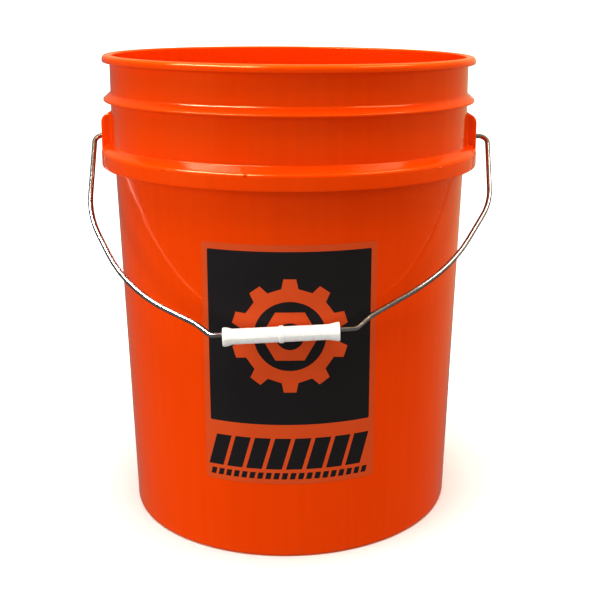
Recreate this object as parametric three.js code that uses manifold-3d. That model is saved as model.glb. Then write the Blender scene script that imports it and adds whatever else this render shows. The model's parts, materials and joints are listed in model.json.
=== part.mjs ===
// A five-gallon plastic pail with a swinging wire bail, a loose tubular grip and a wrapped label.
// Millimetres, +Z up, the pail's axis on Z, its foot on Z = 0 and the bail's pivots on the X axis.
import * as THREE from 'three';
import { mergeVertices } from 'three/addons/utils/BufferGeometryUtils.js';
import Module from 'manifold-3d';

const wasm = await Module();
wasm.setup();

// Pail body
const HEIGHT = 368;
const WALL = 2.2;
const FOOT_RADIUS = 131;
const WALL_TAPER = 0.0336; // growth of the radius for each millimetre of height
const FOOT_FILLET = 2;
const FOOT_RING_INNER = 123;
const RECESS_HEIGHT = 2.4;
const RECESS_DRAFT = 1;
const FLOOR_TOP = 4.8;
const CENTRE_PAD_RADIUS = 14;
const FLOOR_FILLET = 6;
const LATHE_SEGMENTS = 72;

// Stacking skirt, stacking flange and rim, from the bottom up
const SKIRT_RADIUS = 150.5;
const SKIRT_BOTTOM = 282.5;
const SKIRT_TOP = 298.8;
const SKIRT_SLOPE = 30; // degrees from level
const SKIRT_EDGE_RADIUS = 2;
const CEILING_OUTER = 292.4; // the skirt's hollow slopes up from here
const CEILING_INNER = 295.4; // to here, where it meets the wall
const UPPER_WALL_RADIUS = 142.2;
const FLANGE_RADIUS = 147.8;
const FLANGE_TIP = 333.4;
const FLANGE_TOP = 339.3;
const FLANGE_ROOT = 335.6; // height where its underside meets the wall
const FLANGE_UNDERCUT = 2.4; // the underside is steep inside this distance from the tip
const FLANGE_LIP = 0.5; // small chamfers round the tip
const RIM_RADIUS = 148;
const RIM_BOTTOM = 362.4;
const RIM_ROUNDING = 3.2;
const RIM_INNER_RADIUS = 140.6;
const RIM_LAND_RADIUS = 142;
const RIM_INNER_CHAMFER = 1.4;
const RIM_OUTER_CHAMFER = 0.8;
const RIM_ROOT_FILLET = 0.4;

// Ears that carry the bail
const EAR_FACE = 148.8;
const EAR_BOTTOM = 292.5;
const EAR_TOP = 322.6;
const EAR_HALF_WIDTH = 22;
const EAR_ROOT = 140.5;
const EAR_SHOULDER = 7.5;
const EAR_PLATE = 2.2;
const POCKET_ROOT = 143.2;
const POCKET_TOP = 316;
const PIVOT_HEIGHT = 302.2;
const PIVOT_HOLE_RADIUS = 2.5;
const HOLE_SIDES = 24;

// Bail wire: bent flat in one plane, drawn hanging straight down, then leaned on the pail
const WIRE_RADIUS = 1.95;
const WIRE_SIDES = 8;
const HEAD_RADIUS = 3.3;
const HEAD_LENGTH = 1.8;
const HEAD_INNER_FACE = 143.9;
const BAIL_LEAN = THREE.MathUtils.degToRad(49.8);
const ARC_STEP = THREE.MathUtils.degToRad(9);
const BAIL_BENDS = [ // X, drop below the pivots, bend radius
  [-157.6, 0, 6.5],
  [-153, 82.6, 100],
  [-123.4, 141.2, 120],
  [-97.1, 163.3, 100],
  [-68.2, 179.8, 10],
  [-56.2, 190, 6],
  [46, 185.2, 6],
  [56.4, 174.9, 12],
  [92.2, 151.7, 150],
  [122, 127.8, 135],
  [155.5, 71.1, 65],
  [161.6, 0, 7],
];

// Grip: hangs on the straight between the two innermost bends
const GRIP_CENTRE_X = -7.1;
const GRIP_LENGTH = 82.6;
const GRIP_RADIUS = 5.6;
const GRIP_END_RADIUS = 6.9;
const GRIP_FLARE = 7;
const GRIP_RING_RADIUS = 6.3;
const GRIP_RING_HALF_WIDTH = 1.3;
const GRIP_BORE_RADIUS = 4;
const GRIP_HANG = 1.75; // the loose grip's axis below the wire's
const GRIP_SEGMENTS = 24;

// Label: a rectangle of film wrapped on the front of the taper
const LABEL_LEFT = -66.2;
const LABEL_RIGHT = 63.9;
const LABEL_BOTTOM = 60;
const LABEL_TOP = 243;
const LABEL_GAP = 0.3;
const LABEL_THICKNESS = 0.3;
const LABEL_STEPS = 18;

const material = (color, roughness, metalness) => new THREE.MeshStandardMaterial({ color, roughness, metalness });
const pailPlastic = material(0xef4a0c, 0.38, 0);
const zincWire = material(0xb9b6b2, 0.3, 1);
const gripPlastic = material(0xf6f4ee, 0.35, 0);
const labelPrint = material(0x242021, 0.45, 0);

/** Keeps only positions, joins shared corners and drops the triangles that collapse to a line. */
function closedSurface(geometry) {
  const bare = geometry.clone();
  bare.deleteAttribute('normal');
  bare.deleteAttribute('uv');
  const merged = mergeVertices(bare, 1e-4);
  const index = merged.index.array;
  const kept = [];
  for (let i = 0; i < index.length; i += 3) {
    const [a, b, c] = index.slice(i, i + 3);
    if (a !== b && b !== c && c !== a) kept.push(a, b, c);
  }
  merged.setIndex(kept);
  return merged;
}

function toSolid(geometry) {
  const surface = closedSurface(geometry);
  return new wasm.Manifold(new wasm.Mesh({
    numProp: 3,
    vertProperties: new Float32Array(surface.attributes.position.array),
    triVerts: new Uint32Array(surface.index.array),
  }));
}

function toGeometry(solid) {
  const mesh = solid.getMesh();
  const geometry = new THREE.BufferGeometry();
  geometry.setAttribute('position', new THREE.BufferAttribute(mesh.vertProperties, 3));
  geometry.setIndex(new THREE.BufferAttribute(mesh.triVerts, 1));
  return geometry;
}

/** A solid of revolution about Z from a closed profile of [radius, height] points. */
function turned(profile, segments) {
  const points = profile.map(([r, z]) => new THREE.Vector2(r, z));
  points.push(points[0].clone());
  return new THREE.LatheGeometry(points, segments).rotateX(Math.PI / 2);
}

/** Points of an arc in a profile, from one angle to another in degrees. */
function arc(centreR, centreZ, radius, from, to, steps) {
  const points = [];
  for (let i = 0; i <= steps; i += 1) {
    const angle = THREE.MathUtils.degToRad(from + ((to - from) * i) / steps);
    points.push([centreR + radius * Math.cos(angle), centreZ + radius * Math.sin(angle)]);
  }
  return points;
}

const wallRadius = (z) => FOOT_RADIUS + WALL_TAPER * z;

/** The moulding's section: underside, outer face going up, rim, inner face going down, floor. */
function pailProfile() {
  const innerRadius = (z) => wallRadius(z) - WALL;
  const slope = THREE.MathUtils.degToRad(SKIRT_SLOPE);
  const edgeR = SKIRT_RADIUS - SKIRT_EDGE_RADIUS;
  const slopeRun = edgeR + SKIRT_EDGE_RADIUS * Math.sin(slope) - UPPER_WALL_RADIUS;
  const edgeZ = SKIRT_TOP - slopeRun * Math.tan(slope) - SKIRT_EDGE_RADIUS * Math.cos(slope);
  const underside = [
    [0, 0],
    [CENTRE_PAD_RADIUS, 0],
    [CENTRE_PAD_RADIUS + RECESS_DRAFT, RECESS_HEIGHT],
    [FOOT_RING_INNER - RECESS_DRAFT, RECESS_HEIGHT],
    [FOOT_RING_INNER, 0],
  ];
  const skirt = [
    [wallRadius(CEILING_INNER), CEILING_INNER],
    [SKIRT_RADIUS - WALL, CEILING_OUTER],
    [SKIRT_RADIUS - WALL, SKIRT_BOTTOM],
    [SKIRT_RADIUS, SKIRT_BOTTOM],
    ...arc(edgeR, edgeZ, SKIRT_EDGE_RADIUS, 0, 90 - SKIRT_SLOPE, 3),
    [UPPER_WALL_RADIUS, SKIRT_TOP],
  ];
  const flange = [
    [UPPER_WALL_RADIUS, FLANGE_ROOT],
    [FLANGE_RADIUS - FLANGE_UNDERCUT, FLANGE_TIP - FLANGE_LIP],
    [FLANGE_RADIUS - FLANGE_LIP, FLANGE_TIP - 1.6 * FLANGE_LIP],
    [FLANGE_RADIUS, FLANGE_TIP],
    [FLANGE_RADIUS - FLANGE_LIP, FLANGE_TIP + 2 * FLANGE_LIP],
    [UPPER_WALL_RADIUS, FLANGE_TOP],
  ];
  const rim = [
    [UPPER_WALL_RADIUS, RIM_BOTTOM - RIM_ROOT_FILLET],
    [RIM_RADIUS - RIM_OUTER_CHAMFER, RIM_BOTTOM],
    [RIM_RADIUS, RIM_BOTTOM + RIM_OUTER_CHAMFER],
    ...arc(RIM_RADIUS - RIM_ROUNDING, HEIGHT - RIM_ROUNDING, RIM_ROUNDING, 0, 90, 4),
    [RIM_LAND_RADIUS, HEIGHT],
    [RIM_INNER_RADIUS, HEIGHT - RIM_INNER_CHAMFER],
  ];
  const inside = [
    [UPPER_WALL_RADIUS - WALL, SKIRT_TOP],
    [innerRadius(CEILING_OUTER), CEILING_OUTER],
    ...arc(innerRadius(FLOOR_TOP) - FLOOR_FILLET, FLOOR_TOP + FLOOR_FILLET, FLOOR_FILLET, 0, -90, 3),
    [0, FLOOR_TOP],
  ];
  const footFillet = arc(wallRadius(FOOT_FILLET) - FOOT_FILLET, FOOT_FILLET, FOOT_FILLET, -90, 0, 3);
  return [...underside, ...footFillet, ...skirt, ...flange, ...rim, ...inside];
}

/** A bar running along Y with its outline drawn in X and Z. */
function barAlongY(outline, halfWidth) {
  const shape = new THREE.Shape(outline.map(([x, z]) => new THREE.Vector2(x, z)));
  const bar = new THREE.ExtrudeGeometry(shape, { depth: 2 * halfWidth, bevelEnabled: false });
  return bar.translate(0, 0, -halfWidth).rotateX(Math.PI / 2);
}

/** The hollow ear at +X as a block to add, and its pocket and pivot hole to cut away. */
function earSolids() {
  const shoulder = arc(EAR_FACE - EAR_SHOULDER, EAR_TOP - EAR_SHOULDER, EAR_SHOULDER, 0, 90, 4);
  const block = barAlongY([
    [EAR_ROOT, EAR_BOTTOM],
    [EAR_FACE, EAR_BOTTOM],
    ...shoulder,
    [EAR_ROOT, EAR_TOP],
  ], EAR_HALF_WIDTH);
  const pocket = barAlongY([
    [POCKET_ROOT, CEILING_OUTER - 1],
    [EAR_FACE - EAR_PLATE, CEILING_OUTER - 1],
    [EAR_FACE - EAR_PLATE, POCKET_TOP],
    [POCKET_ROOT, POCKET_TOP],
  ], EAR_HALF_WIDTH - EAR_PLATE);
  const hole = new THREE.CylinderGeometry(PIVOT_HOLE_RADIUS, PIVOT_HOLE_RADIUS, 3 * EAR_PLATE, HOLE_SIDES);
  hole.rotateZ(Math.PI / 2).translate(EAR_FACE, 0, PIVOT_HEIGHT);
  return { block, cuts: [pocket, hole] };
}

function makePail() {
  let pail = toSolid(turned(pailProfile(), LATHE_SEGMENTS));
  const { block, cuts } = earSolids();
  for (const turn of [0, Math.PI]) {
    pail = pail.add(toSolid(block.clone().rotateZ(turn)));
    for (const cut of cuts) pail = pail.subtract(toSolid(cut.clone().rotateZ(turn)));
  }
  return toGeometry(pail);
}

/** Stations along a wire bent in the XZ plane: each has its place and its direction there. */
function bentWire(start, bends, end) {
  const corners = [start, ...bends.map(([x, drop]) => new THREE.Vector2(x, -drop)), end];
  const stations = [];
  const addStation = (point, angle) => stations.push({ x: point.x, z: point.y, angle });
  addStation(start, corners[1].clone().sub(start).angle());
  bends.forEach(([, , radius], i) => {
    const [before, corner, after] = corners.slice(i, i + 3);
    const arriving = corner.clone().sub(before).normalize();
    const leaving = after.clone().sub(corner).normalize();
    const turn = Math.atan2(arriving.cross(leaving), arriving.dot(leaving));
    const side = Math.sign(turn);
    const tangent = radius * Math.tan(Math.abs(turn) / 2);
    const arcStart = corner.clone().addScaledVector(arriving, -tangent);
    const normal = new THREE.Vector2(-arriving.y, arriving.x).multiplyScalar(side);
    const centre = arcStart.clone().addScaledVector(normal, radius);
    const steps = Math.max(1, Math.ceil(Math.abs(turn) / ARC_STEP));
    for (let k = 0; k <= steps; k += 1) {
      const swept = (turn * k) / steps;
      addStation(arcStart.clone().rotateAround(centre, swept), arriving.angle() + swept);
    }
  });
  addStation(end, end.clone().sub(corners[corners.length - 2]).angle());
  return stations;
}

/** A closed round bar through stations that lie in the XZ plane. */
function roundBar(stations, radius, sides) {
  const positions = [];
  const index = [];
  for (const { x, z, angle } of stations) {
    for (let k = 0; k < sides; k += 1) {
      const around = (2 * Math.PI * k) / sides;
      const outward = radius * Math.cos(around);
      positions.push(x - outward * Math.sin(angle), -radius * Math.sin(around), z + outward * Math.cos(angle));
    }
  }
  const ring = (s, k) => s * sides + (k % sides);
  for (let s = 0; s < stations.length - 1; s += 1) {
    for (let k = 0; k < sides; k += 1) {
      index.push(ring(s, k), ring(s, k + 1), ring(s + 1, k));
      index.push(ring(s, k + 1), ring(s + 1, k + 1), ring(s + 1, k));
    }
  }
  const last = stations.length - 1;
  for (let k = 1; k < sides - 1; k += 1) {
    index.push(ring(0, 0), ring(0, k + 1), ring(0, k));
    index.push(ring(last, 0), ring(last, k), ring(last, k + 1));
  }
  const geometry = new THREE.BufferGeometry();
  geometry.setAttribute('position', new THREE.Float32BufferAttribute(positions, 3));
  geometry.setIndex(index);
  return geometry;
}

/** The wire with a flattened head at each end, which keeps it inside its ear. */
function makeWire() {
  const headMiddle = HEAD_INNER_FACE + HEAD_LENGTH / 2;
  const start = new THREE.Vector2(-headMiddle, 0);
  const end = new THREE.Vector2(headMiddle, 0);
  let wire = toSolid(roundBar(bentWire(start, BAIL_BENDS, end), WIRE_RADIUS, WIRE_SIDES));
  for (const side of [-1, 1]) {
    const head = new THREE.CylinderGeometry(HEAD_RADIUS, HEAD_RADIUS, HEAD_LENGTH, 16);
    head.rotateZ(Math.PI / 2).translate(side * headMiddle, 0, 0);
    wire = wire.add(toSolid(head));
  }
  return toGeometry(wire);
}

/** The grip lying on X: a tube with flared ends and a ring round its middle. */
function makeGrip() {
  const half = GRIP_LENGTH / 2;
  const flare = half - GRIP_FLARE;
  const profile = [
    [GRIP_BORE_RADIUS, -half],
    [GRIP_END_RADIUS - 0.4, -half],
    [GRIP_END_RADIUS, -half + 0.8],
    [(GRIP_END_RADIUS + GRIP_RADIUS) / 2, -half + GRIP_FLARE / 2],
    [GRIP_RADIUS, -flare],
    [GRIP_RADIUS, -GRIP_RING_HALF_WIDTH],
    [GRIP_RING_RADIUS, -GRIP_RING_HALF_WIDTH / 2],
    [GRIP_RING_RADIUS, GRIP_RING_HALF_WIDTH / 2],
    [GRIP_RADIUS, GRIP_RING_HALF_WIDTH],
    [GRIP_RADIUS, flare],
    [(GRIP_END_RADIUS + GRIP_RADIUS) / 2, half - GRIP_FLARE / 2],
    [GRIP_END_RADIUS, half - 0.8],
    [GRIP_END_RADIUS - 0.4, half],
    [GRIP_BORE_RADIUS, half],
  ];
  return closedSurface(turned(profile, GRIP_SEGMENTS).rotateY(Math.PI / 2));
}

/** A thin rectangle of film wrapped on the front of the tapered wall. */
function makeLabel() {
  const positions = [];
  const index = [];
  const addPoint = (across, z, standOff) => {
    const radius = wallRadius(z) + standOff;
    const turn = across / wallRadius(z);
    positions.push(radius * Math.sin(turn), -radius * Math.cos(turn), z);
  };
  for (let i = 0; i <= LABEL_STEPS; i += 1) {
    const across = LABEL_LEFT + ((LABEL_RIGHT - LABEL_LEFT) * i) / LABEL_STEPS;
    addPoint(across, LABEL_BOTTOM, LABEL_GAP);
    addPoint(across, LABEL_BOTTOM, LABEL_GAP + LABEL_THICKNESS);
    addPoint(across, LABEL_TOP, LABEL_GAP + LABEL_THICKNESS);
    addPoint(across, LABEL_TOP, LABEL_GAP);
  }
  for (let i = 0; i < LABEL_STEPS; i += 1) {
    for (let k = 0; k < 4; k += 1) {
      const here = 4 * i + k;
      const beside = 4 * i + ((k + 1) % 4);
      index.push(here, here + 4, beside, beside, here + 4, beside + 4);
    }
  }
  const last = 4 * LABEL_STEPS;
  index.push(0, 1, 2, 0, 2, 3);
  index.push(last, last + 2, last + 1, last, last + 3, last + 2);
  const geometry = new THREE.BufferGeometry();
  geometry.setAttribute('position', new THREE.Float32BufferAttribute(positions, 3));
  geometry.setIndex(index);
  return geometry;
}

function namedMesh(name, geometry, meshMaterial) {
  const mesh = new THREE.Mesh(geometry, meshMaterial);
  mesh.name = name;
  return mesh;
}

const pail = namedMesh('pail', makePail(), pailPlastic);
const label = namedMesh('label_film', makeLabel(), labelPrint);
const wire = namedMesh('bail_wire', makeWire(), zincWire);
const grip = namedMesh('bail_grip', makeGrip(), gripPlastic);

// The grip lies along the straight between the two innermost bends, hanging a little below it.
const [leftX, leftDrop] = BAIL_BENDS[5];
const [rightX, rightDrop] = BAIL_BENDS[6];
const straightSlope = (leftDrop - rightDrop) / (rightX - leftX);
const gripDrop = leftDrop - straightSlope * (GRIP_CENTRE_X - leftX) + GRIP_HANG;
grip.position.set(GRIP_CENTRE_X, 0, -gripDrop);
grip.rotation.y = -Math.atan(straightSlope);

const bail = new THREE.Group();
bail.add(wire, grip);
bail.position.set(0, 0, PIVOT_HEIGHT);
bail.rotation.x = -BAIL_LEAN;

const group = new THREE.Group();
group.add(pail, label, bail);

export default group;
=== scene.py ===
import json
import math

import bmesh
import bpy
import numpy as np
from mathutils import Matrix, Vector


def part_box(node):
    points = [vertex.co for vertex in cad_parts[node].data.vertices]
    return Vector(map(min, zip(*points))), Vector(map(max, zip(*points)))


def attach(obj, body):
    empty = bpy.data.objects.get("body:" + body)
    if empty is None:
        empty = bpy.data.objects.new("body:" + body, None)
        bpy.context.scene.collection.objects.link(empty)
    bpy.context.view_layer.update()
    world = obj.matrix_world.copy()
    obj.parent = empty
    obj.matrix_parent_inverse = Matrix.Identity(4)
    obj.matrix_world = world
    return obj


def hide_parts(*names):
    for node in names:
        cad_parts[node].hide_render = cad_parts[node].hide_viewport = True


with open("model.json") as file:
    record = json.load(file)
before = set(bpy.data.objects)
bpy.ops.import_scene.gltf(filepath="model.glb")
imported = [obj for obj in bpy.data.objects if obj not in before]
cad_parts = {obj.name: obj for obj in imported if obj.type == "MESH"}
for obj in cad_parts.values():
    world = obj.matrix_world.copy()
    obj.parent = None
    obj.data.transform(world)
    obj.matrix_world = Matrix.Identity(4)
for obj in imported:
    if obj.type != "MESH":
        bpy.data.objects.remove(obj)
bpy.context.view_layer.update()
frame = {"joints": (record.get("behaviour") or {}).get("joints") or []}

# Lengths are in millimetres, except where a comment says metres, and in the materials, all in metres.
MM = 0.001
TAU = 2 * math.pi


def joint(name):
    return next(j for j in frame["joints"] if j["name"] == name)


# ---------------------------------------------------------------- sizes taken from the frame
label_low, label_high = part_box("label_film")
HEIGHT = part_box("pail")[1].z / MM
PIVOT_HEIGHT = joint("bail_swing")["pos_m"][2] / MM
GRIP_CENTRE = np.array(joint("grip_spin")["pos_m"]) / MM
GRIP_AXIS = np.array(joint("grip_spin")["axis"])
LABEL_BOTTOM = label_low.z / MM
LABEL_TOP = label_high.z / MM
# ---------------------------------------------------------------- pail: the CAD source's sizes, and marks
WALL = 2.2
FOOT_RADIUS = 131
WALL_TAPER = 0.0336
FOOT_FILLET = 2.4
FOOT_RING_INNER = 123
RECESS_HEIGHT = 2.4
FLOOR_TOP = 4.8
FLOOR_FILLET = 6
PAD_RADIUS = 14
GATE_RADIUS = 3.4
GATE_DEPTH = 0.9
RIB_RADII = (58, 92)
RIB_HEIGHT = 1
RIB_FOOT = 1.6  # half the width of a rib where it stands on the floor's underside
RIB_TIP = 0.8
SKIRT_RADIUS = 150.5
SKIRT_BOTTOM = 282.5
SKIRT_TOP = 298.8
SKIRT_SLOPE = math.radians(30)
SKIRT_EDGE = 3
GATE_MARKS = ((-36.5, 5.6), (-12, 5.4), (46, 7))  # degrees right of the front, depth below the skirt's top
GATE_MARK_SIZE = (1.3, 0.8, 1.0)  # half its width, depth and height
GATE_MARK_SINK = 0.35  # how far its centre lies inside the skirt's face
CEILING_OUTER = 292.4
CEILING_INNER = 295.4
UPPER_WALL = 142.2
FLANGE_RADIUS = 147.8
FLANGE_ROOT = 335.6
FLANGE_UNDER = 332.6
FLANGE_LIP = 334.2
FLANGE_TOP = 339.3
RIM_RADIUS = 148
RIM_BOTTOM = 362.4
RIM_ROUNDING = 3.2
RIM_INNER = 140.6
AXIS_GAP = 0.4  # the first and last rings round the axis, closed by small discs
# ---------------------------------------------------------------- ears
EAR_FACE = 148.8
EAR_TOP = 322.6
EAR_FADE = 7.4  # how far above its top an ear still bulges the wall
EAR_SHOULDER = 7.5
EAR_HALF_WIDTH = 22
EAR_EDGE = 1.6
EAR_FILLET = 3
EAR_PLATE = 2.2
POCKET_ROOT = 143.2
POCKET_TOP = 316
POCKET_HALF_WIDTH = 19.8
POCKET_CHAMFER = 1
HOLE_RADIUS = 2.5
HOLE_REACH = 2  # rows and columns of the skin, each way from the hole's centre, that bend round it
HOLE_GRID = range(-HOLE_REACH, HOLE_REACH + 1)
# ---------------------------------------------------------------- bail
WIRE_RADIUS = 1.95
HEAD_RADIUS = 3.3
HEAD_INNER = 143.9
HEAD_OUTER = 145.7
WIRE_SIDES = 20
BAIL_LEAN = math.radians(49.8)
BAIL_BENDS = [  # X, drop below the pivots, bend radius
    (-157.6, 0, 6.5),
    (-153, 82.6, 100),
    (-123.4, 141.2, 120),
    (-97.1, 163.3, 100),
    (-68.2, 179.8, 10),
    (-56.2, 190, 6),
    (46, 185.2, 6),
    (56.4, 174.9, 12),
    (92.2, 151.7, 150),
    (122, 127.8, 135),
    (155.5, 71.1, 65),
    (161.6, 0, 7),
]
# ---------------------------------------------------------------- grip
GRIP_HALF = 41.3
GRIP_RADIUS = 5.6
GRIP_END = 6.9
GRIP_BORE = 4
GRIP_RING = 6.3
GRIP_SIDES = 48
SEAM_HEIGHT = 0.13
SEAM_WIDTH = 0.035  # as the sine of an angle round the grip
SEAM_COLUMNS = (-0.05, -0.025, 0.025, 0.05)  # extra points beside each seam, in radians
# ---------------------------------------------------------------- label
LABEL_LEFT = -66.2
LABEL_RIGHT = 63.9
PANEL = (-61.5, 59, 107.5, 238)  # left, right, bottom, top
BAND = (-63.5, 59, 72, 96.5)
DASHES = (-62, 58, 64, 69)
EMBLEM_CENTRE = (-1, 175.5)
GEAR_ROOT = 36
GEAR_TIP = 43
GEAR_TEETH = 10
DISC_RADIUS = 26
NUT_RADIUS = 21
NUT_BORE = 10
FILM = (0.03, 0.14)  # distance from the wall, thickness
INK = (0.18, 0.03)
CUT_SPACING = 3  # width of the upright strips that let a flat shape follow the wall
FIRST_CUT = 2.1
SHARP_ANGLE = math.radians(35)


# ================================================================ mesh helpers
def rounded(corners, degrees=15, support=0.7):
    """Points of a line through corners (a, b, radius), each corner turned into an arc.

    Long straights get one extra point near each end, so that shading stays flat between arcs.
    """
    points = [np.array(corners[0][:2], float)]

    def add(point):
        if np.linalg.norm(point - points[-1]) > 1e-6:
            points.append(point)

    def add_straight_to(point):
        start = points[-1]
        run = point - start
        length = np.linalg.norm(run)
        if support and length > 4 * support:
            add(start + run * support / length)
            add(point - run * support / length)
        add(point)

    for before, here, after in zip(corners, corners[1:], corners[2:]):
        a, b, c = (np.array(p[:2], float) for p in (before, here, after))
        radius = here[2]
        arriving = (b - a) / np.linalg.norm(b - a)
        leaving = (c - b) / np.linalg.norm(c - b)
        cross = arriving[0] * leaving[1] - arriving[1] * leaving[0]
        turn = math.atan2(cross, arriving @ leaving)
        tangent = radius * math.tan(abs(turn) / 2)
        side = math.copysign(1, turn)
        normal = np.array([-arriving[1], arriving[0]]) * side
        arc_start = b - arriving * tangent
        centre = arc_start + normal * radius
        add_straight_to(arc_start)
        steps = max(1, math.ceil(math.degrees(abs(turn)) / degrees))
        for k in range(1, steps + 1):
            angle = turn * k / steps
            spoke = -normal * radius
            cos, sin = math.cos(angle), math.sin(angle)
            add(centre + np.array([cos * spoke[0] - sin * spoke[1], sin * spoke[0] + cos * spoke[1]]))
    add_straight_to(np.array(corners[-1][:2], float))
    return np.array(points)


def add_piece(mesh, material, body):
    """Puts a mesh in the scene under its own name, riding on a body and finished like a slot."""
    mesh.materials.append(material)
    piece = bpy.data.objects.new(mesh.name, mesh)
    bpy.context.scene.collection.objects.link(piece)
    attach(piece, body)
    return piece


def make_piece(name, points, faces, material, body):
    """A piece from points in millimetres."""
    mesh = bpy.data.meshes.new(name)
    mesh.from_pydata([tuple(p) for p in np.asarray(points, float) * MM], [], faces)
    mesh.validate()
    mesh.shade_smooth()
    return add_piece(mesh, material, body)


def tidy_mesh(piece, distance=1e-7):
    """Joins points that coincide, drops faces without area and turns every face outward."""
    made = bmesh.new()
    made.from_mesh(piece.data)
    bmesh.ops.remove_doubles(made, verts=made.verts, dist=distance)
    bmesh.ops.dissolve_degenerate(made, dist=distance, edges=made.edges)
    bmesh.ops.recalc_face_normals(made, faces=made.faces)
    made.to_mesh(piece.data)
    made.free()


def ring_faces(rows, columns, cap_ends=False):
    """Quads between neighbouring rings of points, and fans over the first and last ring."""
    faces = []
    for i in range(rows - 1):
        for j in range(columns):
            k = (j + 1) % columns
            faces.append((i * columns + j, i * columns + k, (i + 1) * columns + k, (i + 1) * columns + j))
    if cap_ends:
        faces.append(tuple(range(columns))[::-1])
        last = (rows - 1) * columns
        faces.append(tuple(range(last, last + columns)))
    return faces


# ================================================================ material helpers
def add_node(tree, kind, **settings):
    node = tree.nodes.new(kind)
    for key, value in settings.items():
        setattr(node, key, value)
    return node


def colour_sockets(sockets):
    """The colour ones among a Mix node's sockets, which share their names with numbers and vectors."""
    return [socket for socket in sockets if socket.type == "RGBA"]


class Shader:
    """A material built node by node round one Principled shader."""

    def __init__(self, name):
        self.material = bpy.data.materials.new(name)
        self.material.use_nodes = True
        self.tree = self.material.node_tree
        self.shader = next(n for n in self.tree.nodes if n.type == "BSDF_PRINCIPLED")
        self.place = self.add("ShaderNodeTexCoord").outputs["Object"]

    def add(self, kind, **settings):
        return add_node(self.tree, kind, **settings)

    def link(self, output, socket):
        self.tree.links.new(output, socket)

    def set(self, **values):
        """Uniform values, set on the shader's own sockets; underscores stand for spaces."""
        for key, value in values.items():
            self.shader.inputs[key.replace("_", " ")].default_value = value

    def stretched(self, scale):
        mapping = self.add("ShaderNodeMapping")
        mapping.inputs["Scale"].default_value = scale
        self.link(self.place, mapping.inputs["Vector"])
        return mapping.outputs["Vector"]

    def noise(self, scale, detail, vector=None):
        node = self.add("ShaderNodeTexNoise")
        node.inputs["Scale"].default_value = scale
        node.inputs["Detail"].default_value = detail
        self.link(vector or self.place, node.inputs["Vector"])
        return node.outputs["Fac"]

    def remap(self, value, low, high, to_low, to_high):
        """Stretches a value from one range to another and keeps it inside that."""
        node = self.add("ShaderNodeMapRange")
        limits = {"From Min": low, "From Max": high, "To Min": to_low, "To Max": to_high}
        for name, number in limits.items():
            node.inputs[name].default_value = number
        self.link(value, node.inputs["Value"])
        return node.outputs["Result"]

    def blend(self, factor, first, second):
        """A colour between two, each a colour or another node's output."""
        node = self.add("ShaderNodeMix", data_type="RGBA")
        self.link(factor, node.inputs["Factor"])
        for socket, colour in zip(colour_sockets(node.inputs), (first, second)):
            if isinstance(colour, tuple):
                socket.default_value = (*colour, 1)
            else:
                self.link(colour, socket)
        return colour_sockets(node.outputs)[0]

    def combine(self, operation, first, second):
        node = self.add("ShaderNodeMath", operation=operation)
        for socket, value in zip(node.inputs, (first, second)):
            if isinstance(value, (int, float)):
                socket.default_value = value
            else:
                self.link(value, socket)
        return node.outputs[0]

    def uneven(self, scale, detail, low, high, edges=(0.3, 0.7)):
        """Noise spread between two numbers; the edges are the noise values that count as them."""
        return self.remap(self.noise(scale, detail), *edges, low, high)

    def relief(self, *layers):
        """Bumps laid over each other, each the scale and detail of a noise and a height in metres."""
        normal = None
        for scale, detail, height in layers:
            node = self.add("ShaderNodeBump")
            node.inputs["Distance"].default_value = height
            self.link(self.noise(scale, detail), node.inputs["Height"])
            if normal:
                self.link(normal, node.inputs["Normal"])
            normal = node.outputs["Normal"]
        return normal

    def height(self):
        """The Z of a point, in metres above the floor."""
        node = self.add("ShaderNodeSeparateXYZ")
        self.link(self.place, node.inputs[0])
        return node.outputs["Z"]

    def finish(self, colour, roughness, normal):
        """The material, with what varies over the surface linked to its shader."""
        self.link(colour, self.shader.inputs["Base Color"])
        self.link(roughness, self.shader.inputs["Roughness"])
        self.link(normal, self.shader.inputs["Normal"])
        return self.material


def pail_plastic():
    """Glossy orange polyethylene with a faint orange-peel skin, flow streaks and a scuffed foot."""
    s = Shader("pail_orange")
    s.set(IOR=1.5, Specular_IOR_Level=0.3, Specular_Tint=(1, 0.72, 0.42, 1))
    mottle = s.noise(9, 3)
    streaks = s.noise(1, 3, s.stretched((160, 160, 5)))
    tone = s.remap(s.combine("ADD", mottle, streaks), 0.7, 1.3, 0, 1)
    clean = s.blend(tone, (0.82, 0.088, 0.0012), (0.86, 0.096, 0.0015))
    foot = s.remap(s.height(), 0.001, 0.009, 1, 0)
    scuffs = s.remap(s.noise(1, 4, s.stretched((90, 90, 700))), 0.5, 0.66, 0, 0.55)
    worn = s.combine("MULTIPLY", foot, scuffs)
    colour = s.blend(worn, clean, (0.74, 0.11, 0.04))
    dulled = s.combine("MULTIPLY", worn, 0.3)
    roughness = s.combine("ADD", s.uneven(35, 4, 0.13, 0.18), dulled)
    return s.finish(colour, roughness, s.relief((14, 1, 0.0001), (650, 2, 0.000001)))


def label_film():
    """Thin satin film: it shows the pail's orange through it, paler and duller."""
    s = Shader("label_film_satin")
    s.set(IOR=1.45, Specular_IOR_Level=0.35, Specular_Tint=(1, 0.75, 0.5, 1))
    clouds = s.uneven(22, 3, 0, 1, edges=(0.35, 0.65))
    colour = s.blend(clouds, (0.67, 0.112, 0.030), (0.70, 0.120, 0.034))
    return s.finish(colour, s.uneven(60, 3, 0.36, 0.48), s.relief((14, 1, 0.0002), (900, 2, 0.000003)))


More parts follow.
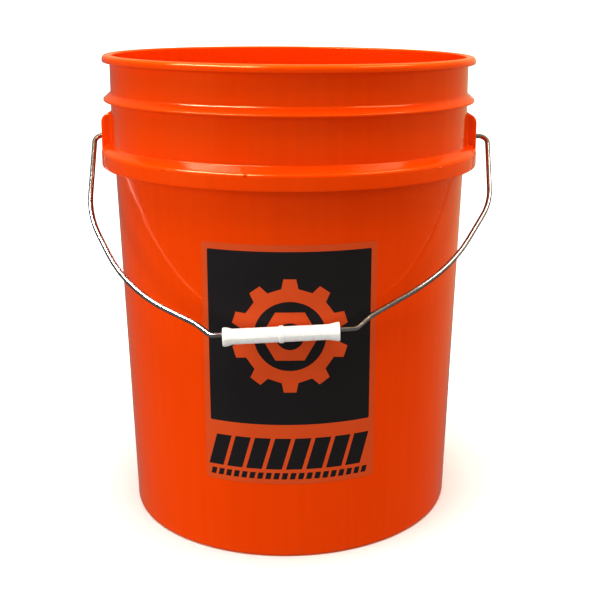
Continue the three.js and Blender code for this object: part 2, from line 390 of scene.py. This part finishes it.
def black_ink():
    """Satin black print with a faint grain and slightly uneven gloss."""
    s = Shader("label_black_ink")
    s.set(IOR=1.4, Specular_IOR_Level=0.3)
    grain = s.uneven(1500, 2, 0, 1, edges=(0.4, 0.6))
    colour = s.blend(grain, (0.025, 0.0215, 0.0228), (0.034, 0.029, 0.031))
    return s.finish(colour, s.uneven(40, 4, 0.38, 0.5), s.relief((14, 1, 0.0002), (1200, 2, 0.000003)))


def zinc_wire():
    """Bright galvanised wire with a slightly clouded, faintly rippled zinc skin."""
    s = Shader("zinc_bright")
    s.set(Metallic=1.0, Specular_Tint=(0.2, 0.2, 0.23, 1))
    clouds = s.uneven(180, 4, 0, 1, edges=(0.35, 0.65))
    colour = s.blend(clouds, (0.42, 0.40, 0.40), (0.52, 0.50, 0.495))
    return s.finish(colour, s.uneven(420, 3, 0.11, 0.17), s.relief((500, 2, 0.000004)))


def grip_plastic():
    """White translucent polyethylene with a soft gloss and faint rub marks."""
    s = Shader("grip_white")
    s.set(IOR=1.5, Subsurface_Weight=0.12, Subsurface_Scale=0.002, Subsurface_Radius=(1.0, 0.9, 0.8))
    rubbed = s.uneven(140, 4, 0, 1, edges=(0.45, 0.7))
    colour = s.blend(rubbed, (0.90, 0.89, 0.865), (0.865, 0.855, 0.825))
    return s.finish(colour, s.uneven(220, 3, 0.22, 0.36), s.relief((300, 2, 0.00002)))


# ================================================================ pail
def wall_radius(z):
    """Outer radius of the tapered wall below the skirt."""
    return FOOT_RADIUS + WALL_TAPER * z


def ceiling(radius):
    """Height of the roof of the skirt's hollow."""
    inner, outer = wall_radius(CEILING_INNER), SKIRT_RADIUS - WALL
    return CEILING_INNER + (radius - inner) / (outer - inner) * (CEILING_OUTER - CEILING_INNER)


def pail_columns():
    """Angles round the pail from +X, close together at the holes and at the ears' sides."""
    hole = [math.degrees(math.atan(HOLE_RADIUS * k / HOLE_REACH / EAR_FACE)) for k in range(HOLE_REACH + 1)]
    quarter = np.concatenate([  # degrees
        hole,
        np.linspace(1.7, 6.8, 6),
        (7.15, 7.45),
        (math.degrees(math.atan(POCKET_HALF_WIDTH / (EAR_FACE - EAR_PLATE))), 7.74),
        np.linspace(7.95, 8.47, 8),
        np.linspace(8.53, 8.8, 6),
        np.linspace(8.87, 10.9, 14),
        (11.3, 12, 13),
        np.arange(14, 91, 2),
    ])
    half = np.concatenate([quarter, 180 - quarter[-2::-1]])
    return np.radians(np.concatenate([half, 180 + half[1:-1]]))


def ear_radius(angles, z):
    """How far out the wall and its ears reach at a height, with their edges and fillets rounded."""
    across = np.abs(np.sin(angles))
    along = np.abs(np.cos(angles))

    def distance(radius):
        """Below zero inside the moulding: a bar with a round shoulder and edges, filleted to the wall."""
        x = radius * along - (EAR_FACE - EAR_SHOULDER)
        up = z - (EAR_TOP - EAR_SHOULDER)
        section = np.hypot(np.maximum(x, 0), max(up, 0)) + np.minimum(np.maximum(x, up), 0) - EAR_SHOULDER
        a = section + EAR_EDGE
        b = radius * across - EAR_HALF_WIDTH + EAR_EDGE
        block = np.minimum(np.maximum(a, b), 0) + np.hypot(np.maximum(a, 0), np.maximum(b, 0)) - EAR_EDGE
        wall = radius - UPPER_WALL
        share = np.maximum(EAR_FILLET - np.abs(block - wall), 0) / EAR_FILLET
        return np.minimum(block, wall) - share ** 2 * EAR_FILLET / 4

    low = np.full(len(angles), UPPER_WALL - 0.01)  # the surface lies between these and is halved in on
    high = np.full(len(angles), SKIRT_RADIUS + 6.0)
    for _ in range(32):
        middle = (low + high) / 2
        inside = distance(middle) < 0
        low = np.where(inside, middle, low)
        high = np.where(inside, high, middle)
    return low


def pail_outline():
    """The moulding's section in four runs: underside and wall, hollow, outside of the skirt, the rest."""
    shoulder = SKIRT_TOP - (SKIRT_RADIUS - UPPER_WALL) * math.tan(SKIRT_SLOPE)
    ribs = []
    for radius in RIB_RADII:
        ribs += [
            (radius - RIB_FOOT, RECESS_HEIGHT, 0.5),
            (radius - RIB_TIP, RECESS_HEIGHT - RIB_HEIGHT, 0.4),
            (radius + RIB_TIP, RECESS_HEIGHT - RIB_HEIGHT, 0.4),
            (radius + RIB_FOOT, RECESS_HEIGHT, 0.5),
        ]
    below = rounded([
        (AXIS_GAP, GATE_DEPTH, 0),
        (GATE_RADIUS - 0.5, GATE_DEPTH, 0.3),
        (GATE_RADIUS, 0, 0.3),
        (PAD_RADIUS, 0, 0.6),
        (PAD_RADIUS + 1, RECESS_HEIGHT, 0.6),
        *ribs,
        (FOOT_RING_INNER - 1, RECESS_HEIGHT, 0.6),
        (FOOT_RING_INNER, 0, 0.6),
        (FOOT_RADIUS, 0, FOOT_FILLET),
        (wall_radius(CEILING_INNER), CEILING_INNER, 0.8),
        (POCKET_ROOT - 0.5, ceiling(POCKET_ROOT - 0.5), 0),
    ], degrees=22)
    hollow = rounded([
        (SKIRT_RADIUS - WALL - 0.2, ceiling(SKIRT_RADIUS - WALL - 0.2), 0),
        (SKIRT_RADIUS - WALL, CEILING_OUTER, 0),
        (SKIRT_RADIUS - WALL, SKIRT_BOTTOM, 0.4),
        (SKIRT_RADIUS, SKIRT_BOTTOM, 0.5),
        (SKIRT_RADIUS, SKIRT_BOTTOM + 2, 0),
    ], degrees=22)
    slope_radii = np.linspace(SKIRT_RADIUS - 2, UPPER_WALL + 1.5, 9)
    slope = [(r, shoulder + (SKIRT_RADIUS - r) * math.tan(SKIRT_SLOPE), 0) for r in slope_radii]
    outside = rounded([
        (SKIRT_RADIUS, SKIRT_BOTTOM + 3, 0),
        (SKIRT_RADIUS, shoulder, SKIRT_EDGE),
        *slope,
        (UPPER_WALL, SKIRT_TOP, 1.3),
        (UPPER_WALL, SKIRT_TOP + 0.8, 0),
    ], degrees=12, support=0.5)
    above = rounded([
        (UPPER_WALL, EAR_TOP + EAR_FADE, 0),
        (UPPER_WALL, FLANGE_ROOT, 0.9),
        (FLANGE_RADIUS - 2.5, FLANGE_UNDER + 0.3, 0.8),
        (FLANGE_RADIUS, FLANGE_UNDER, 0.6),
        (FLANGE_RADIUS, FLANGE_LIP, 0.8),
        (UPPER_WALL, FLANGE_TOP, 3.0),
        (UPPER_WALL, RIM_BOTTOM - 0.4, 0.9),
        (RIM_RADIUS, RIM_BOTTOM, 0.8),
        (RIM_RADIUS, HEIGHT, RIM_ROUNDING),
        (RIM_INNER, HEIGHT, 1.5),
        (UPPER_WALL - WALL, SKIRT_TOP, 8),
        (wall_radius(CEILING_OUTER) - WALL, CEILING_OUTER, 8),
        (wall_radius(FLOOR_TOP) - WALL, FLOOR_TOP, FLOOR_FILLET),
        (AXIS_GAP, FLOOR_TOP, 0),
    ], degrees=15)
    return below, hollow, outside, above


def hole_heights():
    """Heights of the rows that pass through the pivot holes."""
    return [PIVOT_HEIGHT + HOLE_RADIUS * k / HOLE_REACH for k in HOLE_GRID]


def pocket_rows(angles):
    """Rows up the back of the ear's pocket, over its roof and down its face, and the first hole row."""
    face_x = EAR_FACE - EAR_PLATE
    widest = math.atan(POCKET_HALF_WIDTH / face_x)
    reach = np.minimum(np.arcsin(np.abs(np.sin(angles))), widest)
    is_open = np.abs(np.sin(angles)) < math.sin(widest + math.radians(0.02))
    back = POCKET_ROOT / np.cos(reach)
    face = face_x / np.cos(reach)
    steps = [
        (back, POCKET_TOP - POCKET_CHAMFER),
        (back + POCKET_CHAMFER, POCKET_TOP),
        (face - POCKET_CHAMFER, POCKET_TOP),
        (face, POCKET_TOP - POCKET_CHAMFER),
    ]
    first_hole = len(steps) + 1
    steps += [(face, z) for z in reversed(hole_heights())]
    steps.append((face, CEILING_OUTER + 2))
    rows = [(back, ceiling(back))]
    rows += [(radius, np.where(is_open, z, ceiling(radius))) for radius, z in steps]
    rows.append((face, ceiling(face)))
    return rows, first_hole


def ear_heights():
    """Heights of the rows from the holes up: the flat face, the ears' round shoulder, their fillet."""
    flat = np.linspace(hole_heights()[-1] + 1.6, EAR_TOP - EAR_SHOULDER, 6)
    shoulder = [EAR_TOP - EAR_SHOULDER * (1 - math.sin(math.radians(a))) for a in range(8, 89, 8)]
    fillet = [EAR_TOP + rise for rise in (0.1, 0.4, 0.8, 1.3, 1.9, 2.6, 3.4, 4.3, 5.3, 6.4)]
    return [*flat, *shoulder, *fillet]


def pail_rows(angles):
    """Every row of the moulding as radii and heights, and where its pivot holes' rows start."""
    count = len(angles)
    below, hollow, outside, above = pail_outline()

    def level(radius, z):
        return np.full(count, float(radius)), np.full(count, float(z))

    rows = [level(r, z) for r, z in below]
    pocket, first_hole = pocket_rows(angles)
    inner_hole = len(rows) + first_hole
    rows += pocket
    rows += [level(r, z) for r, z in hollow]
    for r, z in outside:
        rows.append((np.maximum(r, ear_radius(angles, z)), np.full(count, float(z))))
    outer_hole = len(rows)
    for z in [*hole_heights(), *ear_heights()]:
        rows.append((ear_radius(angles, z), np.full(count, float(z))))
    rows += [level(r, z) for r, z in above]
    return rows, inner_hole, outer_hole


def make_pail(material):
    """The whole moulding as one closed skin, with the two pivot holes cut through the ears."""
    angles = pail_columns()
    count = len(angles)
    rows, inner_hole, outer_hole = pail_rows(angles)
    radii = np.array([r for r, _ in rows])
    heights = np.array([z for _, z in rows])
    points = np.stack([radii * np.cos(angles), radii * np.sin(angles), heights], axis=2)
    cut = set()
    bridges = []
    for centre in (0, count // 2):
        outer = {}
        inner = {}
        for up in HOLE_GRID:
            for across in HOLE_GRID:
                column = (centre + across) % count
                outer[up, across] = (outer_hole + HOLE_REACH + up, column)
                inner[up, across] = (inner_hole + HOLE_REACH - up, column)
        cells = HOLE_GRID[:-1]
        edge = [(-HOLE_REACH, k) for k in cells] + [(k, HOLE_REACH) for k in cells]
        edge += [(HOLE_REACH, -k) for k in cells] + [(-k, -HOLE_REACH) for k in cells]
        for skin in (outer, inner):
            for spot in edge:
                place = points[skin[spot]]
                offset = np.array([place[1], place[2] - PIVOT_HEIGHT])
                place[1:] = offset * HOLE_RADIUS / np.linalg.norm(offset)
                place[2] += PIVOT_HEIGHT
        for skin, first in ((outer, outer_hole), (inner, inner_hole)):
            cut |= {(first + k, (centre + across) % count) for k in range(len(cells)) for across in cells}
        for here, there in zip(edge, edge[1:] + edge[:1]):
            corners = (outer[here], outer[there], inner[there], inner[here])
            bridges.append(tuple(row * count + column for row, column in corners))
    skin = ring_faces(len(rows), count, cap_ends=True)
    walls = [face for face in skin[:-2] if (face[0] // count, face[0] % count) not in cut]
    pail = make_piece("pail_moulding", points.reshape(-1, 3), walls + skin[-2:] + bridges,
                      material, "pail_body")
    tidy_mesh(pail)
    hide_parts("pail")


def make_gate_marks(material):
    """Small nubs standing on the skirt's edge."""
    for number, (degrees, drop) in enumerate(GATE_MARKS, start=1):
        made = bmesh.new()
        bmesh.ops.create_icosphere(made, subdivisions=3, radius=1)
        points = np.array([v.co for v in made.verts]) * GATE_MARK_SIZE
        faces = [tuple(v.index for v in f.verts) for f in made.faces]
        made.free()
        turn = math.radians(degrees)
        out = np.array([math.sin(turn), -math.cos(turn), 0])
        side = np.array([math.cos(turn), math.sin(turn), 0])
        up = np.array([0, 0, 1])
        centre = out * (SKIRT_RADIUS - GATE_MARK_SINK) + up * (SKIRT_TOP - drop)
        placed = centre + points @ np.array([side, out, up])
        make_piece(f"skirt_gate_mark_{number}", placed, faces, material, "pail_body")


# ================================================================ swept and turned pieces
def swept(path, radii, sides):
    """A closed round bar along a path, with a radius at each of its points."""
    tangents = np.gradient(path, axis=0)
    tangents /= np.linalg.norm(tangents, axis=1)[:, None]
    bend = np.cross(path[-1] - path[0], path[len(path) // 2] - path[0])
    across = bend / np.linalg.norm(bend)
    turns = np.arange(sides) * TAU / sides
    points = []
    for centre, tangent, radius in zip(path, tangents, radii):
        second = np.cross(tangent, across)
        second /= np.linalg.norm(second)
        first = np.cross(second, tangent)
        ring = np.outer(np.cos(turns), first) + np.outer(np.sin(turns), second)
        points.append(centre + ring * radius)
    return np.concatenate(points), ring_faces(len(path), sides, cap_ends=True)


def on_bail(x, drop):
    """A point of the bail's plane, which leans forward from the pivots."""
    return np.array([x, -drop * math.sin(BAIL_LEAN), PIVOT_HEIGHT - drop * math.cos(BAIL_LEAN)])


def make_wire(material):
    """The bent wire with an upset head at each end."""
    start = (-HEAD_OUTER - 0.3, 0, 0)
    end = (HEAD_OUTER + 0.3, 0, 0)
    bends = rounded([start, *BAIL_BENDS, end], degrees=5, support=1.5)
    head = [  # distance from the pail's axis, radius
        (HEAD_INNER, 2.9),
        (HEAD_INNER + 0.15, 3.2),
        (HEAD_INNER + 0.4, HEAD_RADIUS),
        (HEAD_OUTER - 0.4, HEAD_RADIUS),
        (HEAD_OUTER - 0.1, 3.1),
        (HEAD_OUTER, 2.7),
        (HEAD_OUTER + 0.05, 2.1),
    ]
    path = [on_bail(-x, 0) for x, _ in head]
    path += [on_bail(x, drop) for x, drop in bends]
    path += [on_bail(x, 0) for x, _ in reversed(head)]
    head_radii = [radius for _, radius in head]
    radii = head_radii + [WIRE_RADIUS] * len(bends) + head_radii[::-1]
    points, faces = swept(np.array(path), radii, WIRE_SIDES)
    wire = make_piece("bail_wire_drawn", points, faces, material, "bail")
    tidy_mesh(wire)
    wire.visible_diffuse = False  # bright metal would throw specks of light on the wall
    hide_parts("bail_wire")


def make_grip(material):
    """The white tube: a rounded flare on the left, a thin-edged one on the right, a ring between."""
    outline = rounded([
        (-GRIP_HALF + 4, GRIP_BORE, 0),
        (-GRIP_HALF, GRIP_BORE, 0.5),
        (-GRIP_HALF, GRIP_END, 1.3),
        (-GRIP_HALF + 3.4, GRIP_END - 0.2, 4),
        (-GRIP_HALF + 7, GRIP_RADIUS, 6),
        (-1.9, GRIP_RADIUS, 0.3),
        (-1.3, GRIP_RING, 0.4),
        (1.3, GRIP_RING, 0.4),
        (1.9, GRIP_RADIUS, 0.3),
        (GRIP_HALF - 8, GRIP_RADIUS, 12),
        (GRIP_HALF - 1.6, GRIP_END - 0.1, 3),
        (GRIP_HALF, GRIP_END, 0.4),
        (GRIP_HALF, GRIP_BORE, 0.5),
        (GRIP_HALF - 4, GRIP_BORE, 0),
    ], degrees=12, support=0.5)
    outline = np.concatenate([outline, [(GRIP_HALF - 12, GRIP_BORE), (-GRIP_HALF + 12, GRIP_BORE)]])
    axis = Vector(GRIP_AXIS).normalized()
    frame_of_grip = axis.to_track_quat("X", "Z").to_matrix()
    turns = [TAU * k / GRIP_SIDES for k in range(GRIP_SIDES)]
    turns += [base + step for base in (0, math.pi) for step in SEAM_COLUMNS]
    turns.sort()
    points = []
    for x, radius in outline:
        for turn in turns:
            seam = math.exp(-(math.sin(turn) / SEAM_WIDTH) ** 2) if radius > GRIP_BORE + 0.5 else 0
            reach = radius + SEAM_HEIGHT * seam
            points.append((x, reach * math.cos(turn), reach * math.sin(turn)))
    placed = np.array(points) @ np.array(frame_of_grip).T + GRIP_CENTRE
    rows = len(outline)
    columns = len(turns)
    faces = ring_faces(rows, columns)
    last = (rows - 1) * columns
    for j in range(columns):
        k = (j + 1) % columns
        faces.append((last + j, last + k, k, j))
    grip = make_piece("bail_grip_tube", placed, faces, material, "grip")
    tidy_mesh(grip)
    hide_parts("bail_grip")


# ================================================================ label
def wrapped_plates(name, shapes, stand_off, thickness, material):
    """Flat shapes, each an outline and perhaps a hole, laid on the front of the tapered wall."""
    made = bmesh.new()
    for shape in shapes:
        edges = []
        for outline in shape:
            corners = [made.verts.new((x, 0, z)) for x, z in outline]
            edges += [made.edges.new(pair) for pair in zip(corners, corners[1:] + corners[:1])]
        bmesh.ops.triangle_fill(made, edges=edges, use_beauty=True)
    for x in np.arange(LABEL_LEFT + FIRST_CUT, LABEL_RIGHT, CUT_SPACING):
        everything = [*made.verts, *made.edges, *made.faces]
        bmesh.ops.bisect_plane(made, geom=everything, dist=1e-5, plane_co=(x, 0, 0), plane_no=(1, 0, 0))
    extruded = bmesh.ops.extrude_face_region(made, geom=list(made.faces))["geom"]
    for item in extruded:
        if isinstance(item, bmesh.types.BMVert):
            item.co.y = thickness
    for vert in made.verts:
        across, out, z = vert.co
        radius = wall_radius(z) + stand_off + out
        turn = across / wall_radius(z)
        vert.co = Vector((radius * math.sin(turn), -radius * math.cos(turn), z)) * MM
    bmesh.ops.recalc_face_normals(made, faces=made.faces)
    mesh = bpy.data.meshes.new(name)
    made.to_mesh(mesh)
    made.free()
    mesh.shade_smooth()
    mesh.set_sharp_from_angle(angle=SHARP_ANGLE)
    return add_piece(mesh, material, "pail_body")


def around(centre, radius, angle):
    """A point on the flat label at an angle round a centre."""
    return centre[0] + radius * math.cos(angle), centre[1] + radius * math.sin(angle)


def rectangle(left, right, bottom, top, radius):
    """A rectangle's outline with rounded corners."""
    centres = (
        (right - radius, top - radius),
        (left + radius, top - radius),
        (left + radius, bottom + radius),
        (right - radius, bottom + radius),
    )
    outline = []
    for quarter, centre in enumerate(centres):
        outline += [around(centre, radius, math.radians(90 * quarter + 22.5 * step)) for step in range(5)]
    return outline


def circle(radius, sides=64):
    return [around(EMBLEM_CENTRE, radius, TAU * k / sides) for k in range(sides)]


def gear(root, tip, teeth):
    """A toothed wheel's outline with tapered teeth."""
    outline = []
    for tooth in range(teeth):
        for share, radius in ((-0.27, root), (-0.17, tip), (0.17, tip), (0.27, root)):  # of the pitch
            outline.append(around(EMBLEM_CENTRE, radius, TAU * (tooth + 0.5 + share) / teeth))
    return outline


def slanted_blocks(box, count, gap, slant):
    """A row of leaning blocks that fills a box."""
    left, right, bottom, top = box
    width = (right - left - slant - gap * (count - 1)) / count
    blocks = []
    for k in range(count):
        start = left + k * (width + gap)
        end = start + width
        blocks.append([[(start, bottom), (end, bottom), (end + slant, top), (start + slant, top)]])
    return blocks


def make_label(film, ink):
    """A clear-edged film with a printed panel, a gear emblem left open in it, and a striped band."""
    outline = rectangle(LABEL_LEFT, LABEL_RIGHT, LABEL_BOTTOM, LABEL_TOP, 2.5)
    sheet = wrapped_plates("label_film_sheet", [[outline]], *FILM, film)
    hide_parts("label_film")
    shapes = [
        [rectangle(*PANEL, 1.0), gear(GEAR_ROOT, GEAR_TIP, GEAR_TEETH)],
        [circle(DISC_RADIUS), circle(NUT_RADIUS, sides=6)],
        [circle(NUT_BORE)],
        *slanted_blocks(BAND, count=8, gap=3.2, slant=7),
        *slanted_blocks(DASHES, count=20, gap=2.2, slant=1.2),
    ]
    wrapped_plates("label_print_black", shapes, *INK, ink)


# ================================================================ camera, light and floor
CAMERA_PLACE = (0, -845.462, 409.093)
CAMERA_YAW = 0.0579378
CAMERA_PITCH = 0.2113149
CAMERA_ROLL = 0.0095874
LENS = 62.339
SENSOR_WIDTH = 36
LENS_SHIFT = (-0.08333, -0.125)
# The room, the lights and the floor are in metres and watts.
ROOM_LEVEL = 0.21
BACKDROP_LEVEL = 0.52
BACKDROP_COLOUR = (1, 0.85, 0.6)
BACKDROP_FACING = (1, 0.8, 1.5)  # behind, above and to the right
BACKDROP_EDGE = (0.34, 0.9)  # where the backdrop starts and where it is at its full level
SEEN_LEVEL = 1.02
LIGHTS_AIM = HEIGHT * MM * 0.6
# Name, azimuth and elevation in degrees, distance, (width, height), power, rays it is hidden from.
LIGHT_PANELS = [
    ("key_left", -60, 8, 1.4, (1.0, 0.9), 7.4, "glossy"),
    ("fill_right", 75, 8, 1.4, (0.9, 0.9), 3.0, "glossy"),
    ("strip_left", -54, 52, 1.3, (1.05, 0.4), 40, "diffuse"),
    ("strip_right", 71, 52, 1.3, (0.8, 0.3), 6, "diffuse"),
    ("front_low", 0, -6, 1.5, (1.6, 0.6), 2.2, "glossy"),
    ("floor_bounce", 0, -90, 1.1, (2.2, 2.2), 6, "glossy"),
]
BAR_PLACE = (0, -0.1, 0.95)
BAR_SIZE = (0.5, 0.08)
BAR_POWER = 2.0
SUN_STRENGTH = 2.7
SUN_SPREAD = math.radians(50)
SUN_TILT = math.radians(4)
FLOOR_RADIUS = 0.8


def make_camera():
    """A close camera, turned, tipped and rolled a little, with its frame off the lens's centre."""
    forward = Vector((
        math.sin(CAMERA_YAW) * math.cos(CAMERA_PITCH),
        math.cos(CAMERA_YAW) * math.cos(CAMERA_PITCH),
        -math.sin(CAMERA_PITCH),
    ))
    level = Vector((math.cos(CAMERA_YAW), -math.sin(CAMERA_YAW), 0))
    upright = level.cross(forward)
    right = math.cos(CAMERA_ROLL) * level + math.sin(CAMERA_ROLL) * upright
    up = math.cos(CAMERA_ROLL) * upright - math.sin(CAMERA_ROLL) * level
    data = bpy.data.cameras.new("camera")
    data.sensor_width = SENSOR_WIDTH
    data.lens = LENS
    data.shift_x, data.shift_y = LENS_SHIFT
    data.clip_start = 0.01
    camera = bpy.data.objects.new("camera", data)
    matrix = Matrix((right, up, -forward)).transposed().to_4x4()
    matrix.translation = Vector(CAMERA_PLACE) * MM
    camera.matrix_world = matrix
    bpy.context.scene.collection.objects.link(camera)
    bpy.context.scene.camera = camera


def add_panel(name, place, turn, size, power, hidden_from):
    """A soft rectangular light, hidden from either glossy or diffuse rays."""
    data = bpy.data.lights.new(name, "AREA")
    data.shape = "RECTANGLE"
    data.size, data.size_y = size
    data.energy = power
    light = bpy.data.objects.new(name, data)
    light.location = place
    light.rotation_mode = "QUATERNION"
    light.rotation_quaternion = turn
    setattr(light, f"visible_{hidden_from}", False)
    bpy.context.scene.collection.objects.link(light)


def make_room():
    """A dim room with a lit backdrop behind the pail, plain white where the camera sees it."""
    world = bpy.data.worlds.new("studio")
    bpy.context.scene.world = world
    world.use_nodes = True
    tree = world.node_tree
    background = tree.nodes["Background"]
    direction = add_node(tree, "ShaderNodeTexCoord")
    facing = add_node(tree, "ShaderNodeVectorMath", operation="DOT_PRODUCT")
    facing.inputs[1].default_value = BACKDROP_FACING
    tree.links.new(direction.outputs["Generated"], facing.inputs[0])
    behind = add_node(tree, "ShaderNodeMapRange", interpolation_type="SMOOTHSTEP")
    behind.inputs["From Min"].default_value, behind.inputs["From Max"].default_value = BACKDROP_EDGE
    tree.links.new(facing.outputs["Value"], behind.inputs["Value"])
    lit = add_node(tree, "ShaderNodeMix", data_type="RGBA")
    dim, bright = colour_sockets(lit.inputs)
    dim.default_value = (ROOM_LEVEL, ROOM_LEVEL, ROOM_LEVEL, 1)
    bright.default_value = (*[BACKDROP_LEVEL * part for part in BACKDROP_COLOUR], 1)
    tree.links.new(behind.outputs["Result"], lit.inputs["Factor"])
    shown = add_node(tree, "ShaderNodeMix", data_type="RGBA")
    for_surfaces, for_camera = colour_sockets(shown.inputs)
    tree.links.new(colour_sockets(lit.outputs)[0], for_surfaces)
    for_camera.default_value = (SEEN_LEVEL, SEEN_LEVEL, SEEN_LEVEL, 1)
    rays = add_node(tree, "ShaderNodeLightPath")
    tree.links.new(rays.outputs["Is Camera Ray"], shown.inputs["Factor"])
    tree.links.new(colour_sockets(shown.outputs)[0], background.inputs["Color"])


def make_lights():
    """Panels round the pail, strips that only glint, a bar over the rim and an even light from above.

    Azimuth 0 is in front of the pail, and 90 is to its right.
    """
    for name, azimuth, elevation, distance, size, power, hidden_from in LIGHT_PANELS:
        a, e = math.radians(azimuth), math.radians(elevation)
        away = Vector((math.sin(a) * math.cos(e), -math.cos(a) * math.cos(e), math.sin(e)))
        place = Vector((0, 0, LIGHTS_AIM)) + away * distance
        add_panel(name, place, away.to_track_quat("Z", "Y"), size, power, hidden_from)
    facing_down = (1, 0, 0, 0)
    add_panel("top_bar", BAR_PLACE, facing_down, BAR_SIZE, BAR_POWER, "glossy")
    sky = bpy.data.lights.new("overhead", "SUN")
    sky.energy = SUN_STRENGTH
    sky.angle = SUN_SPREAD
    light = bpy.data.objects.new("overhead", sky)
    light.rotation_euler = (SUN_TILT, 0, 0)
    light.visible_glossy = False
    bpy.context.scene.collection.objects.link(light)


def make_floor():
    """A plain pale floor. Only the camera sees it: a panel from below stands in for its bounced light."""
    bpy.ops.mesh.primitive_circle_add(vertices=96, radius=FLOOR_RADIUS, fill_type="NGON")
    floor = bpy.context.object
    floor.name = "floor"
    s = Shader("floor_pale")
    s.set(Roughness=0.9, Specular_IOR_Level=0.1)
    tone = s.uneven(3, 2, 0, 1)
    s.link(s.blend(tone, (0.74, 0.74, 0.74), (0.76, 0.76, 0.76)), s.shader.inputs["Base Color"])
    floor.data.materials.append(s.material)
    floor.visible_glossy = False
    floor.visible_diffuse = False
    floor.visible_shadow = False


make_camera()
make_room()
make_lights()
make_floor()
orange = pail_plastic()
make_pail(orange)
make_gate_marks(orange)
make_label(label_film(), black_ink())
make_wire(zinc_wire())
make_grip(grip_plastic())
bpy.context.scene.view_settings.view_transform = "Standard"
bpy.context.scene.view_settings.look = "High Contrast"
